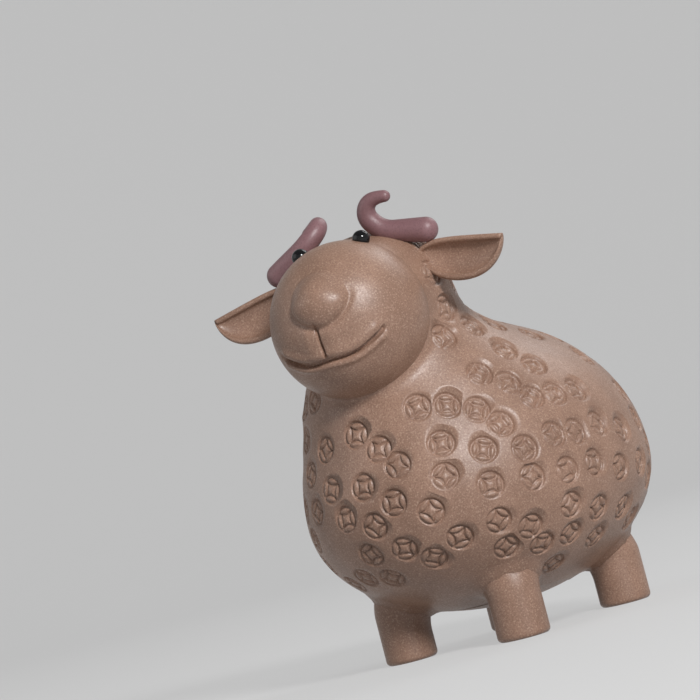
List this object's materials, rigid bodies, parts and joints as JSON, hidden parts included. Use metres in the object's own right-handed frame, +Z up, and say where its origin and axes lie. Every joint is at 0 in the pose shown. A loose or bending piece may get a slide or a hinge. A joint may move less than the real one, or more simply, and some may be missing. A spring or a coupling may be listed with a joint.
{
  "type": "sheep figurine",
  "caption": "Small clay sheep ornament with a plump egg-shaped body pressed with round coin marks, ball muzzle with a smile, cupped leaf ears, curled horns and stub legs.",
  "frame": {"origin": "middle of the footprint box, on the level of the soles", "axes": "+Z up, the sheep's body faces -Y and its left side is +X"},
  "size_m": [0.0558, 0.076, 0.0761],
  "materials": {
    "brown_clay": "matte, fine sandy grain, unglazed",
    "purple_clay": "satin, fine grained, unglazed",
    "eye_glaze": "glossy black glaze"
  },
  "bodies": {
    "root": {"body_shell": "brown_clay", "base_disc": "brown_clay", "neck_hood": "brown_clay", "muzzle": "brown_clay", "nose": "brown_clay", "tail": "brown_clay", "eye_left": "eye_glaze", "eye_right": "eye_glaze", "horn_left": "purple_clay", "horn_right": "purple_clay", "ear_left": "brown_clay", "ear_right": "brown_clay", "leg_front_left": "brown_clay", "leg_front_right": "brown_clay", "leg_rear_left": "brown_clay", "leg_rear_right": "brown_clay"}
  },
  "joints": []
}
